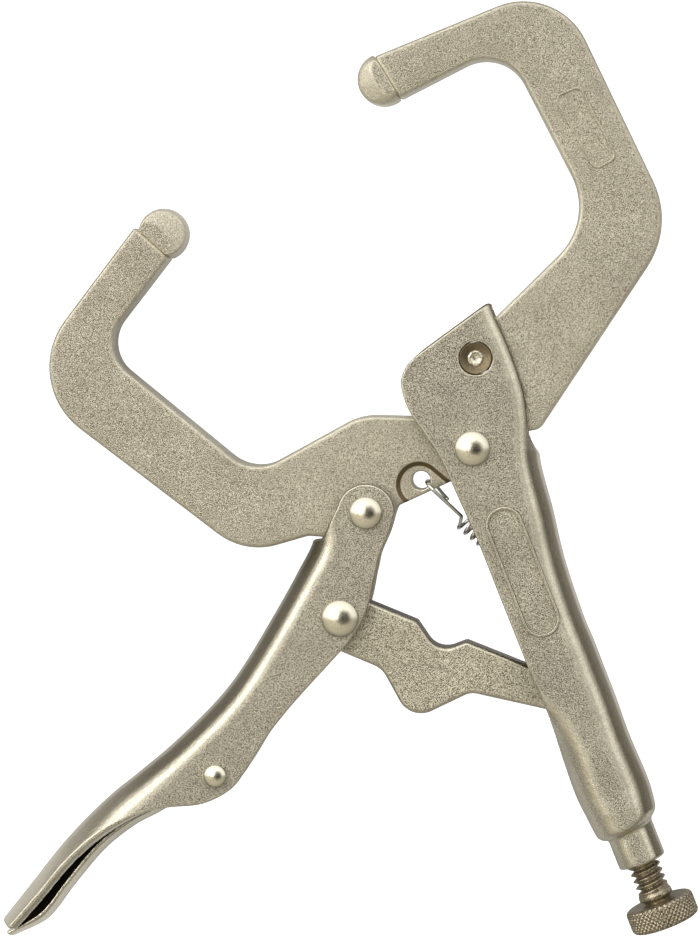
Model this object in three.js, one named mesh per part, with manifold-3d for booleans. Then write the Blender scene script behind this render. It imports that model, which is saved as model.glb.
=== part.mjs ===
// Locking pliers with two forged C-shaped jaws, lying flat in the open position.
// Millimetres, +Z up. The tool's own plane is parallel to XY. The origin is on the main pivot's axis, where
// the flat of its lower rivet head rests on z = 0. The fixed jaw points to +Y.
import * as THREE from "three";
import { mergeVertices } from "three/addons/utils/BufferGeometryUtils.js";
import Module from "manifold-3d";

const wasm = await Module();
wasm.setup();

// Thicknesses, all measured from the tool's middle plane
const MID = 7.2; // height of the middle plane
const JAW_HALF = 3.8; // half the forged jaws' thickness
const JAW_EDGE = 0.8; // bevel along the jaws' outlines
const WALL_IN = 4.1; // inner face of the sheet walls
const WALL_OUT = 5.7; // outer face of the sheet walls
const SHEET = WALL_OUT - WALL_IN;
const SLOT_HALF = 4.0; // half the slots that the jaws pass through
const LINK_HALF = 3.0;
const LEVER_HALF = 3.6; // outer half width of the release lever
const LEVER_SHEET = 1.2;
const HEAD_UNDER = 5.8; // underside of the rivet heads
const HEAD_TOP = MID; // so that the heads rest on z = 0
const PIVOT_GAP = 0.15; // radial clearance of every pivot

// Pivots in the tool's plane
const MAIN_PIVOT = [0, 0];
const JAW_PIN = [0.5, 14.6];
const HANDLE_PIVOT = [-17.3, -10.5];
const TOGGLE_PIVOT = [-21.5, -27.7];
const LEVER_PIVOT = [-41.9, -53.6];
const SPRING_HOLE = [-8.4, -5.3];
const SPRING_HOLE_R = 1.55;

// Shank and head radii of the rivets
const MAIN_RIVET = { shank: 2.2, head: 2.8 };
const HANDLE_RIVET = { shank: 2.0, head: 2.6 };
const TOGGLE_RIVET = { shank: 2.2, head: 2.95 };
const LEVER_RIVET = { shank: 1.25, head: 1.8 };
const JAW_PIN_R = 2.65;
const HEX_R = 1.15;

// Pivot end of the moving jaw: round boss, and the recess about the spring hole
const BOSS_R = 6.3;
const RECESS_CENTRE = [-8.7, -6.0];
const RECESS_R = 3.8;
const RECESS_RUN = 9; // how far the recess runs along the spring
const RECESS_DEPTH = 0.8;

// Adjusting screw: distances run along its axis from the end of the toggle link
const LINK_END = [17.1, -40.75];
const SCREW_DIR = [0.368, -0.93];
const SCREW_TIP = 3.4;
const SCREW_R = 2.6;
const BARREL_START = 23.2;
const BARREL_END = 29.2;
const BARREL_R = 3.95;
const BARREL_WALL = 1.05;
const NECK_START = 34.3;
const KNOB_START = 36.0;
const KNOB_END = 40.1;
const KNOB_R = 5.7;

// Jaw tips
const FIXED_TIP = [-14.6, 59.9];
const MOVING_TIP = [-50.8, 34.8];
const TIP_R = 4.3;
const TIP_HALF = 4.0; // half its height
const TIP_ROUNDING = 0.75; // share of a quarter turn that its side bends through
const TIP_SIDES = 28;
const TIP_FLAT_R = 0.9;
const FIXED_TIP_DIR = [-0.953, -0.303];
const MOVING_TIP_DIR = [0.628, 0.778];

// Spring
const WIRE_R = 0.32;
const COIL_R = 1.68;
const COIL_PITCH = 1.37;
const COIL_TURNS = 13;
const COIL_START = [-1.3, -12.2];
const COIL_DIR = [0.766, -0.643];
const SPRING_TAB = [14.6, -25.9];

const ARC_STEP = Math.PI / 12; // largest angle between two points of an arc

// ---- Flat shapes ----

// Turns corners [x, y, radius] into points, with an arc at each corner that has a radius.
function rounded(corners) {
  const points = [];
  corners.forEach(([x, y, radius = 0], i) => {
    const here = new THREE.Vector2(x, y);
    const [px, py] = corners[(i + corners.length - 1) % corners.length];
    const [nx, ny] = corners[(i + 1) % corners.length];
    const back = new THREE.Vector2(px, py).sub(here).normalize();
    const ahead = new THREE.Vector2(nx, ny).sub(here).normalize();
    if (!radius) {
      points.push(here);
      return;
    }
    const half = Math.acos(THREE.MathUtils.clamp(back.dot(ahead), -1, 1)) / 2;
    const centre = back.clone().add(ahead).normalize().multiplyScalar(radius / Math.sin(half)).add(here);
    const run = radius / Math.tan(half);
    const from = back.clone().multiplyScalar(run).add(here).sub(centre);
    const turn = from.angle();
    let sweep = ahead.clone().multiplyScalar(run).add(here).sub(centre).angle() - turn;
    if (sweep > Math.PI) sweep -= 2 * Math.PI;
    if (sweep < -Math.PI) sweep += 2 * Math.PI;
    const steps = Math.max(2, Math.ceil(Math.abs(sweep) / ARC_STEP));
    for (let k = 0; k <= steps; k++) {
      const a = turn + (sweep * k) / steps;
      points.push(new THREE.Vector2(centre.x + radius * Math.cos(a), centre.y + radius * Math.sin(a)));
    }
  });
  return points;
}

function arcPoints([cx, cy], radius, fromDeg, toDeg, steps) {
  const points = [];
  for (let k = 0; k <= steps; k++) {
    const a = THREE.MathUtils.degToRad(fromDeg + ((toDeg - fromDeg) * k) / steps);
    points.push([cx + radius * Math.cos(a), cy + radius * Math.sin(a)]);
  }
  return points;
}

const along = ([x, y], [dx, dy], s) => [x + dx * s, y + dy * s];

// ---- Solids ----

function solid(geometry) {
  const bare = geometry.clone();
  bare.deleteAttribute("normal");
  bare.deleteAttribute("uv");
  const merged = mergeVertices(bare, 1e-4);
  const vertProperties = new Float32Array(merged.attributes.position.array);
  const triVerts = new Uint32Array(merged.index.array);
  return new wasm.Manifold(new wasm.Mesh({ numProp: 3, vertProperties, triVerts }));
}

function geometryOf(manifold) {
  const { vertProperties, triVerts } = manifold.getMesh();
  const geometry = new THREE.BufferGeometry();
  geometry.setAttribute("position", new THREE.BufferAttribute(new Float32Array(vertProperties), 3));
  geometry.setIndex(new THREE.BufferAttribute(new Uint32Array(triVerts), 1));
  geometry.computeVertexNormals();
  return geometry;
}

// A plate about the middle plane, with its edges bevelled by edge
function plate(points, half, edge) {
  const shape = new THREE.Shape(points);
  const geometry = new THREE.ExtrudeGeometry(shape, {
    depth: 2 * (half - edge),
    bevelEnabled: edge > 0,
    bevelThickness: edge,
    bevelSize: edge,
    bevelOffset: -edge,
    bevelSegments: 1,
    curveSegments: 12,
  });
  geometry.translate(0, 0, MID - half + edge);
  return solid(geometry);
}

// A straight prism between two heights above the middle plane
function prism(corners, low, high) {
  const shape = new THREE.Shape(corners.map(([x, y]) => new THREE.Vector2(x, y)));
  const geometry = new THREE.ExtrudeGeometry(shape, { depth: high - low, bevelEnabled: false });
  geometry.translate(0, 0, MID + low);
  return solid(geometry);
}

const disc = (centre, radius, low, high, sides = 24) =>
  prism(arcPoints(centre, radius, 0, 360 - 360 / sides, sides - 1), low, high);

const hole = (centre, radius) => disc(centre, radius, -20, 20);

// A turned piece: profile [radius, height] about Z at centre, heights above the middle plane
function turned(profile, [x, y], sides = 24) {
  const geometry = new THREE.LatheGeometry(profile.map(([r, z]) => new THREE.Vector2(r, z)), sides);
  geometry.rotateX(Math.PI / 2);
  geometry.translate(x, y, MID);
  return geometry;
}

// A domed tip: a short round body with rounded edges and a small flat that faces dir
function domedTip(centre, [dx, dy]) {
  const profile = [[0, -TIP_HALF]];
  for (let k = -3; k <= 3; k++) {
    const a = (Math.PI / 2) * (k / 3) * TIP_ROUNDING;
    const height = (TIP_HALF * Math.sin(a)) / Math.sin((Math.PI / 2) * TIP_ROUNDING);
    profile.push([TIP_R * Math.cos(a) ** 0.6, height]);
  }
  profile.push([0, TIP_HALF]);
  const reach = Math.sqrt(TIP_R ** 2 - TIP_FLAT_R ** 2);
  const cutter = new THREE.BoxGeometry(4, 12, 12);
  cutter.rotateZ(Math.atan2(dy, dx));
  cutter.translate(...along(centre, [dx, dy], reach + 2), MID);
  return solid(turned(profile, centre, TIP_SIDES)).subtract(solid(cutter));
}

// ---- Folded sheet ----

// Half of a folded section: distance from the spine and height above the middle plane, with the outward normal.
// The spine is a quarter ellipse, then the wall runs flat, and its edge may curl towards the middle plane.
function foldedHalf({ width, half, bend, close }, count) {
  const arc = width < bend ? Math.acos(1 - width / bend) : Math.PI / 2;
  const rise = half / Math.sin(arc);
  const curl = close * THREE.MathUtils.degToRad(88);
  const curlIn = bend;
  const curlDown = half - 0.2;
  const path = [];
  for (let k = 0; k <= 24; k++) {
    const a = (arc * k) / 24;
    path.push([bend * (1 - Math.cos(a)), rise * Math.sin(a), -rise * Math.cos(a), bend * Math.sin(a)]);
  }
  if (width > bend) {
    const flatEnd = width - curlIn * Math.sin(curl);
    for (let k = 0; k <= 24; k++) {
      const a = (curl * k) / 24;
      const d = flatEnd + curlIn * Math.sin(a);
      path.push([d, half - curlDown * (1 - Math.cos(a)), curlDown * Math.sin(a), curlIn * Math.cos(a)]);
    }
  }
  const lengths = [0];
  for (let k = 1; k < path.length; k++) {
    lengths.push(lengths[k - 1] + Math.hypot(path[k][0] - path[k - 1][0], path[k][1] - path[k - 1][1]));
  }
  const total = lengths[lengths.length - 1];
  const points = [];
  for (let i = 0; i <= count; i++) {
    const s = (total * i) / count;
    let k = 1;
    while (k < path.length - 1 && lengths[k] < s) k++;
    const span = lengths[k] - lengths[k - 1] || 1;
    const t = THREE.MathUtils.clamp((s - lengths[k - 1]) / span, 0, 1);
    const mix = path[k].map((value, j) => path[k - 1][j] + (value - path[k - 1][j]) * t);
    const size = Math.hypot(mix[2], mix[3]);
    points.push([mix[0], mix[1], mix[2] / size, mix[3] / size]);
  }
  return points;
}

// A folded sheet through stations { spine, edge, half, bend, wall, close }, from one end to the other
function folded(stations, count = 9) {
  const positions = [];
  const ring = 2 * (2 * count + 1);
  for (const { spine, edge, half, bend, wall, close = 0 } of stations) {
    const width = Math.hypot(edge[0] - spine[0], edge[1] - spine[1]);
    const dir = [(edge[0] - spine[0]) / width, (edge[1] - spine[1]) / width];
    const upper = foldedHalf({ width, half, bend, close }, count);
    const lower = upper.slice(1).map(([d, z, nd, nz]) => [d, -z, nd, -nz]);
    const outer = [...upper.slice().reverse(), ...lower];
    const inner = outer.map(([d, z, nd, nz]) => [d - wall * nd, z - wall * nz]).reverse();
    for (const [d, z] of [...outer, ...inner]) {
      positions.push(spine[0] + dir[0] * d, spine[1] + dir[1] * d, MID + z);
    }
  }
  const faces = [];
  const quad = (a, b, c, d) => faces.push(a, b, c, a, c, d);
  for (let s = 0; s + 1 < stations.length; s++) {
    for (let i = 0; i < ring; i++) {
      const j = (i + 1) % ring;
      quad(s * ring + i, s * ring + j, (s + 1) * ring + j, (s + 1) * ring + i);
    }
  }
  const last = (stations.length - 1) * ring;
  for (let i = 0; i < 2 * count; i++) {
    quad(ring - 1 - i, ring - 2 - i, i + 1, i);
    quad(last + i, last + i + 1, last + ring - 2 - i, last + ring - 1 - i);
  }
  if (signedVolume(positions, faces) < 0) faces.reverse();
  const geometry = new THREE.BufferGeometry();
  geometry.setAttribute("position", new THREE.Float32BufferAttribute(positions, 3));
  geometry.setIndex(faces);
  const merged = mergeVertices(geometry, 1e-4);
  return solid(merged);
}

function signedVolume(positions, faces) {
  const corner = (i) => new THREE.Vector3().fromArray(positions, 3 * i);
  let total = 0;
  for (let f = 0; f < faces.length; f += 3) {
    total += corner(faces[f]).dot(corner(faces[f + 1]).cross(corner(faces[f + 2]))) / 6;
  }
  return total;
}

// ---- The pieces ----

function fixedJaw() {
  const outline = rounded([
    [-16.0, 63.6],
    [13.6, 75.5, 11.3],
    [32.7, 36.0, 14],
    [11.0, 3.0, 2],
    [8.6, 2.6],
    [3.8, 7.2, 2],
    [0.2, 9.2, 2],
    [-3.8, 11.2, 1.5],
    [-6.4, 15.2, 2],
    [-2.0, 19.9, 2],
    [3.4, 21.1, 2],
    [19.6, 37.0, 11],
    [5.0, 65.2, 6.9],
    [-11.9, 56.6],
  ]);
  return plate(outline, JAW_HALF, JAW_EDGE)
    .add(domedTip(FIXED_TIP, FIXED_TIP_DIR))
    .subtract(hole(JAW_PIN, JAW_PIN_R + PIVOT_GAP));
}

function movingJaw() {
  const outline = rounded([
    [-55.5, 35.8],
    [-74.6, 10.6, 12.7],
    [-37.3, -17.6, 11],
    [-26.8, -14.5, 2],
    [-17.2, -15.2, 3],
    [-13.6, -13.2, 2],
    [-12.0, -9.5],
    [-1.5, -4.6],
    [0, 0],
    [-4.5, 5.0, 2],
    [-18.2, 5.4, 10],
    [-35.8, -4.3, 7],
    [-61.0, 16.2, 5.9],
    [-49.8, 30.6],
  ]);
  const bossOutline = arcPoints(MAIN_PIVOT, BOSS_R, 0, 350, 35).map(([x, y]) => new THREE.Vector2(x, y));
  const boss = plate(bossOutline, JAW_HALF, JAW_EDGE);
  const recess = [
    ...arcPoints(RECESS_CENTRE, RECESS_R, 48, 228, 14),
    ...arcPoints(along(RECESS_CENTRE, COIL_DIR, RECESS_RUN), RECESS_R, 228, 408, 14),
  ];
  const floor = JAW_HALF - RECESS_DEPTH;
  return plate(outline, JAW_HALF, JAW_EDGE)
    .add(boss)
    .add(domedTip(MOVING_TIP, MOVING_TIP_DIR))
    .subtract(hole(MAIN_PIVOT, MAIN_RIVET.shank + PIVOT_GAP))
    .subtract(hole(HANDLE_PIVOT, HANDLE_RIVET.shank + PIVOT_GAP))
    .subtract(hole(SPRING_HOLE, SPRING_HOLE_R))
    .subtract(prism(recess, floor, 6))
    .subtract(prism(recess, -6, -floor));
}

function fixedHandle() {
  const across = [-SCREW_DIR[1], SCREW_DIR[0]];
  const barrelStation = (s) => ({
    spine: along(along(LINK_END, SCREW_DIR, s), across, BARREL_R),
    edge: along(along(LINK_END, SCREW_DIR, s), across, -BARREL_R),
    half: BARREL_R,
    bend: BARREL_R - 0.01,
    wall: BARREL_WALL,
    close: 1,
  });
  const sheet = (edge, spine, bend, close = 0, half = WALL_OUT, wall = SHEET) => (
    { edge, spine, half, bend, wall, close }
  );
  const body = folded([
    sheet([-9.3, 15.1], [3.9, 24.7], 4.2),
    sheet([-10.9, 13.0], [5.3, 21.4], 4.2),
    sheet([-11.6, 10.3], [6.9, 18.0], 4.2),
    sheet([-10.4, 6.3], [8.6, 13.3], 4.2),
    sheet([-7.8, 2.4], [9.8, 8.6], 4.3),
    sheet([-5.1, -1.8], [10.5, 4.2], 4.4),
    sheet([-2.6, -7.3], [11.0, -1.7], 4.6),
    sheet([0.9, -15.1], [13.1, -10.0], 4.8),
    sheet([4.1, -23.1], [15.1, -18.3], 5),
    sheet([7.3, -31.1], [18.0, -27.0], 5),
    sheet([9.0, -35.5], [19.9, -31.6], 5),
    sheet([10.6, -39.5], [21.6, -36.0], 5, 0.2, WALL_OUT, 1.5),
    sheet([12.2, -43.9], [23.4, -40.6], 5, 0.5, WALL_OUT, 1.4),
    sheet([14.4, -50.2], [25.7, -47.0], 5, 1, WALL_OUT, 1.3),
    sheet([16.8, -56.9], [28.6, -53.8], 5, 1, WALL_OUT, 1.3),
    sheet([18.6, -60.6], [29.75, -57.6], 5, 1, WALL_OUT - 0.1, 1.3),
    sheet([20.2, -63.2], [29.9, -60.3], 4.6, 1, WALL_OUT - 0.7, 1.3),
    barrelStation(BARREL_START),
    barrelStation(BARREL_END),
  ]);
  const slot = [[2, -0.9], [16, 4.7], [16, 30], [-15, 30], [-15, 8]];
  const tab = new THREE.BoxGeometry(5, 1.2, 1.6);
  tab.rotateZ(Math.atan2(-across[1], -across[0]));
  tab.translate(...along(SPRING_TAB, across, -0.3), MID);
  return body
    .subtract(prism(slot, -SLOT_HALF, SLOT_HALF))
    .subtract(hole(MAIN_PIVOT, MAIN_RIVET.shank + PIVOT_GAP))
    .subtract(hole(JAW_PIN, JAW_PIN_R + PIVOT_GAP))
    .add(solid(tab));
}

function lowerHandle() {
  const sheet = (edge, spine, bend, half = WALL_OUT) => ({ edge, spine, half, bend, wall: SHEET });
  const body = folded([
    sheet([-9.0, -6.0], [-27.6, -3.0], 4),
    sheet([-14.4, -15.8], [-26.6, -11.5], 4.4),
    sheet([-15.7, -20.1], [-26.2, -15.3], 5),
    sheet([-17.0, -26.0], [-28.7, -20.4], 5),
    sheet([-19.5, -30.8], [-31.5, -25.5], 5),
    sheet([-23.0, -34.9], [-34.4, -30.5], 5),
    sheet([-27.0, -39.3], [-37.3, -35.3], 5),
    sheet([-30.3, -43.1], [-40.0, -39.2], 5),
    sheet([-33.6, -47.4], [-43.2, -42.9], 5),
    sheet([-36.5, -52.1], [-46.5, -46.2], 5),
    sheet([-39.4, -55.9], [-50.0, -49.5], 5.2),
    sheet([-44.1, -58.3], [-53.2, -52.2], 5.6),
    sheet([-50.0, -59.0], [-56.5, -54.9], 6.2),
    sheet([-55.0, -60.3], [-59.5, -57.3], 7),
    sheet([-61.2, -63.5], [-63.7, -61.3], 8),
    sheet([-66.4, -67.9], [-68.2, -66.2], 8.4),
    sheet([-71.2, -73.6], [-73.0, -72.3], 8.4),
    sheet([-76.0, -79.0], [-77.9, -78.5], 8.4),
  ]);
  const outline = [
    ...arcPoints(HANDLE_PIVOT, 4.7, 0, 168, 14),
    [-24.2, -14.2],
    [-27.0, -15.4],
    [-90, -15.4],
    [-90, -90],
    [0, -90],
    [0, -17],
    [-14.2, -16.2],
  ];
  const slot = [[-32, -15.2], [-8, -15.2], [-8, 2], [-32, 2]];
  return body
    .intersect(prism(outline, -8, 8))
    .subtract(prism(slot, -SLOT_HALF, SLOT_HALF))
    .subtract(hole(HANDLE_PIVOT, HANDLE_RIVET.shank + PIVOT_GAP))
    .subtract(hole(TOGGLE_PIVOT, TOGGLE_RIVET.shank + PIVOT_GAP))
    .subtract(hole(LEVER_PIVOT, LEVER_RIVET.shank + PIVOT_GAP));
}

function toggleLink() {
  const outline = rounded([
    [-24.6, -22.1, 3.5],
    [-9.0, -28.4, 1],
    [-5.6, -33.4, 3.5],
    [-0.95, -31.6, 0.8],
    [19.3, -39.6, 1.8],
    [20.1, -42.1, 1.4],
    [16.2, -43.6, 1],
    [-0.3, -40.0, 3],
    [-10.1, -44.8, 4],
    [-14.8, -36.2, 4],
    [-28.1, -30.7, 4],
  ]);
  return plate(outline, LINK_HALF, 0.5).subtract(hole(TOGGLE_PIVOT, TOGGLE_RIVET.shank + PIVOT_GAP));
}

function releaseLever() {
  const sheet = (spine, edge, half = LEVER_HALF, bend = 1.6) => ({ spine, edge, half, bend, wall: LEVER_SHEET });
  return folded([
    sheet([-35.6, -46.6], [-37.6, -45.4]),
    sheet([-38.0, -49.8], [-41.2, -47.2]),
    sheet([-39.8, -52.6], [-44.2, -49.6]),
    sheet([-41.6, -55.2], [-46.6, -52.2]),
    sheet([-44.6, -57.0], [-48.6, -54.4]),
    sheet([-49.0, -58.9], [-51.2, -57.0]),
    sheet([-52.0, -60.6], [-53.5, -59.0], LEVER_HALF, 1.7),
    sheet([-56.0, -62.8], [-57.0, -61.5], LEVER_HALF, 2.2),
    sheet([-60.9, -66.8], [-61.9, -65.6], LEVER_HALF, 2.2),
    sheet([-66.0, -72.9], [-67.0, -71.8], LEVER_HALF, 2.2),
    sheet([-68.7, -76.6], [-69.6, -75.3], LEVER_HALF, 2.2),
    sheet([-71.1, -78.9], [-71.8, -77.4], LEVER_HALF, 2.2),
    sheet([-76.2, -81.3], [-76.8, -80.4], LEVER_HALF, 2.2),
  ]).subtract(hole(LEVER_PIVOT, LEVER_RIVET.shank + PIVOT_GAP));
}

// A rivet with two low domed heads, each with a small flat in its middle
function rivet(centre, { shank, head }) {
  const rise = HEAD_TOP - HEAD_UNDER;
  const flat = 0.8;
  const dome = [];
  for (let k = 0; k <= 3; k++) {
    const a = (Math.PI / 2) * (k / 3);
    dome.push([flat + (head - flat) * Math.cos(a), HEAD_UNDER + rise * Math.sin(a)]);
  }
  const upper = [[shank, HEAD_UNDER], ...dome, [0, HEAD_TOP]];
  const lower = upper.map(([r, z]) => [r, -z]).reverse();
  return turned([...lower, ...upper], centre);
}

// The pin that holds the fixed jaw: flush ends, each with a hexagonal socket
function jawPin() {
  const end = WALL_OUT - 0.1;
  const pin = disc(JAW_PIN, JAW_PIN_R, -end, end);
  return pin.subtract(disc(JAW_PIN, HEX_R, end - 1.4, 9, 6)).subtract(disc(JAW_PIN, HEX_R, -9, 1.4 - end, 6));
}

function adjustingScrew() {
  const profile = [
    [0, SCREW_TIP],
    [1.8, SCREW_TIP],
    [SCREW_R, SCREW_TIP + 0.8],
    [SCREW_R, NECK_START],
    [1.95, NECK_START + 0.5],
    [1.95, KNOB_START - 0.6],
    [3.2, KNOB_START],
    [KNOB_R - 0.9, KNOB_START],
    [KNOB_R - 0.2, KNOB_START + 0.3],
    [KNOB_R, KNOB_START + 0.9],
    [KNOB_R, KNOB_END - 0.9],
    [KNOB_R - 0.2, KNOB_END - 0.3],
    [KNOB_R - 0.9, KNOB_END],
    [0, KNOB_END],
  ];
  const geometry = new THREE.LatheGeometry(profile.map(([r, s]) => new THREE.Vector2(r, s)), 32);
  geometry.rotateZ(Math.atan2(SCREW_DIR[1], SCREW_DIR[0]) - Math.PI / 2);
  geometry.translate(LINK_END[0], LINK_END[1], MID);
  return geometry;
}

// The return spring: a hook through the moving jaw's tab, a straight lead, the coil, and a hook on the handle's tab
function spring() {
  const side = [-COIL_DIR[1], COIL_DIR[0]];
  const at = (s, offset, z) => {
    const [x, y] = along(along(COIL_START, COIL_DIR, s), side, offset);
    return new THREE.Vector3(x, y, MID + z);
  };
  const hook = [at(-8.6, 1.4, -3.9), at(-8.9, 1.2, -1.5), at(-8.9, 1.0, 1.6), at(-8.2, 0.6, 4.3)];
  const lead = [at(-6.6, 0.2, 4.6), at(-4.2, 0, 3.4), at(-1.4, 0.2, 1.9)];
  const points = [...hook, ...lead];
  const perTurn = 7;
  for (let k = 0; k <= COIL_TURNS * perTurn; k++) {
    const a = Math.PI / 2 + (2 * Math.PI * k) / perTurn;
    points.push(at((COIL_PITCH * k) / perTurn, -COIL_R * Math.cos(a), COIL_R * Math.sin(a)));
  }
  const end = COIL_PITCH * COIL_TURNS;
  points.push(at(end + 1.2, 0, 1.3), at(end + 2.4, 0, 0.9));
  const curve = new THREE.CatmullRomCurve3(points, false, "catmullrom", 0.5);
  const section = new THREE.Shape(arcPoints([0, 0], WIRE_R, 0, 288, 4).map(([x, y]) => new THREE.Vector2(x, y)));
  const steps = Math.round(points.length * 1.5);
  return new THREE.ExtrudeGeometry(section, { steps, bevelEnabled: false, extrudePath: curve });
}

// ---- Assembly ----

const NICKEL = new THREE.MeshStandardMaterial({ color: 0xbdb6a3, roughness: 0.45, metalness: 0.9 });
const FORGED = new THREE.MeshStandardMaterial({ color: 0xb7b09c, roughness: 0.5, metalness: 0.9 });
const BRIGHT = new THREE.MeshStandardMaterial({ color: 0xd8d3c4, roughness: 0.25, metalness: 1.0 });
const STEEL = new THREE.MeshStandardMaterial({ color: 0x8d887c, roughness: 0.4, metalness: 1.0 });
const DARK = new THREE.MeshStandardMaterial({ color: 0x4c4538, roughness: 0.5, metalness: 0.9 });

const tool = new THREE.Group();

function piece(name, geometry, material) {
  const mesh = new THREE.Mesh(geometry, material);
  mesh.name = name;
  tool.add(mesh);
}

piece("fixed_handle", geometryOf(fixedHandle()), NICKEL);
piece("fixed_jaw", geometryOf(fixedJaw()), FORGED);
piece("fixed_jaw_pin", geometryOf(jawPin()), DARK);
piece("main_pivot_rivet", rivet(MAIN_PIVOT, MAIN_RIVET), BRIGHT);
piece("moving_jaw", geometryOf(movingJaw()), FORGED);
piece("handle_pivot_rivet", rivet(HANDLE_PIVOT, HANDLE_RIVET), BRIGHT);
piece("lower_handle", geometryOf(lowerHandle()), NICKEL);
piece("toggle_rivet", rivet(TOGGLE_PIVOT, TOGGLE_RIVET), BRIGHT);
piece("lever_rivet", rivet(LEVER_PIVOT, LEVER_RIVET), BRIGHT);
piece("toggle_link", geometryOf(toggleLink()), NICKEL);
piece("release_lever", geometryOf(releaseLever()), NICKEL);
piece("adjusting_screw", adjustingScrew(), STEEL);
piece("return_spring", spring(), STEEL);

export default tool;
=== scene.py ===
"""Looks of the locking pliers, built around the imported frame. Lengths are millimetres until mesh_piece()."""
import math

import bpy
import numpy as np
from mathutils import Matrix, Vector


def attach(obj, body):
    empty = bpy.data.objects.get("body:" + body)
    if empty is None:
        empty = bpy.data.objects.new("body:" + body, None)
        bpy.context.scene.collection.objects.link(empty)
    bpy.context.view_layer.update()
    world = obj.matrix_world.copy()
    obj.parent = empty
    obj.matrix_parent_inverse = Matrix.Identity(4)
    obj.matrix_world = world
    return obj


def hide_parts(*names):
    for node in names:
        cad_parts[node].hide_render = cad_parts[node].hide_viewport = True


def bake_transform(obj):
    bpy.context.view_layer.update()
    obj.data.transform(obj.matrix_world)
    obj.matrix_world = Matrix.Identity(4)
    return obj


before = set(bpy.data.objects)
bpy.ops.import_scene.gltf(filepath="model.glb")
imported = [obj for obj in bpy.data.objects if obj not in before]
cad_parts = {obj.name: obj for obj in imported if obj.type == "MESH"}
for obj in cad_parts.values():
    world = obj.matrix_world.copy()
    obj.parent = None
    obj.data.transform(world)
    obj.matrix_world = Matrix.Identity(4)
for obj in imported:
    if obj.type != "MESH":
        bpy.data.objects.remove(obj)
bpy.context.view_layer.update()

MM = 0.001
MID = 7.2  # height of the tool's middle plane

# Pivots and axes in the tool's plane
MAIN_PIVOT = (0, 0)
JAW_PIN = (0.5, 14.6)
HANDLE_PIVOT = (-17.3, -10.5)
TOGGLE_PIVOT = (-21.5, -27.7)
LEVER_PIVOT = (-41.9, -53.6)
SPRING_HOLE = (-8.4, -5.3)
LINK_END = (17.1, -40.75)
SCREW_DIR = (0.368, -0.93)
COIL_START = (-1.3, -12.2)
COIL_DIR = (0.766, -0.643)

# Radii of the holes
PIN_HOLE = 2.7
MAIN_HOLE = 2.25
HANDLE_HOLE = 2.05
TOGGLE_HOLE = 2.25
LEVER_HOLE = 1.3
SPRING_HOLE_R = 1.5

# Grid cells of the field meshes
SHEET_CELL = 0.32
LEVER_CELL = 0.28
JAW_CELL = 0.4
TIP_CELL = 0.22
LINK_CELL = 0.33
SPAN_STEPS = 8  # steps between two points of a smooth path


# ---- Plane curves ----

def rounded(corners, step=math.radians(6)):
    """Points of a closed outline of corners (x, y) or (x, y, radius)."""
    points = []
    count = len(corners)
    for i, corner in enumerate(corners):
        here = np.array(corner[:2], float)
        if len(corner) < 3:
            points.append(here)
            continue
        radius = corner[2]
        back = np.array(corners[i - 1][:2]) - here
        ahead = np.array(corners[(i + 1) % count][:2]) - here
        back /= np.hypot(*back)
        ahead /= np.hypot(*ahead)
        half = math.acos(np.clip(back @ ahead, -1, 1)) / 2
        middle = back + ahead
        centre = here + middle / np.hypot(*middle) * radius / math.sin(half)
        run = radius / math.tan(half)
        start = here + back * run - centre
        end = here + ahead * run - centre
        turn = math.atan2(start[1], start[0])
        sweep = (math.atan2(end[1], end[0]) - turn + math.pi) % (2 * math.pi) - math.pi
        steps = max(2, math.ceil(abs(sweep) / step))
        for k in range(steps + 1):
            a = turn + sweep * k / steps
            points.append(centre + radius * np.array((math.cos(a), math.sin(a))))
    return np.array(points)


def arc(centre, radius, from_deg, to_deg, steps=16):
    angles = np.radians(np.linspace(from_deg, to_deg, steps + 1))
    return [(centre[0] + radius * math.cos(a), centre[1] + radius * math.sin(a)) for a in angles]


def smooth_path(points, per_span=SPAN_STEPS):
    """An open Catmull-Rom curve through the points, with its ends drawn out straight."""
    p = np.array(points, float)
    p = np.vstack([2 * p[0] - p[1], p, 2 * p[-1] - p[-2]])
    t = np.arange(per_span)[:, None] / per_span
    out = []
    for a, b, c, d in zip(p[:-3], p[1:-2], p[2:-1], p[3:]):
        out.append(0.5 * (2 * b + (c - a) * t + (2 * a - 5 * b + 4 * c - d) * t ** 2
                          + (3 * b - a - 3 * c + d) * t ** 3))
    return np.vstack(out + [p[-2:-1]])


def along(point, direction, s, offset=0.0):
    """A point s further along direction and offset to its left."""
    return (point[0] + direction[0] * s - direction[1] * offset,
            point[1] + direction[1] * s + direction[0] * offset)


def near_path(path, x, y):
    """Signed distance to an open path, positive on its left, and the path length at the nearest point."""
    shape = np.broadcast(x, y).shape
    best = np.full(shape, np.inf)
    side = np.zeros(shape)
    run = np.zeros(shape)
    start = 0.0
    last = len(path) - 2
    for i in range(last + 1):
        (ax, ay), (bx, by) = path[i], path[i + 1]
        dx, dy = bx - ax, by - ay
        length = math.hypot(dx, dy)
        t = ((x - ax) * dx + (y - ay) * dy) / length ** 2
        t = np.clip(t, -30 if i == 0 else 0, 30 if i == last else 1)
        px, py = x - ax - dx * t, y - ay - dy * t
        near = px * px + py * py
        closer = near < best
        best = np.where(closer, near, best)
        side = np.where(closer, dx * (y - ay) - dy * (x - ax), side)
        run = np.where(closer, start + np.clip(t, 0, 1) * length, run)
        start += length
    return np.sqrt(best) * np.sign(side), run


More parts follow.
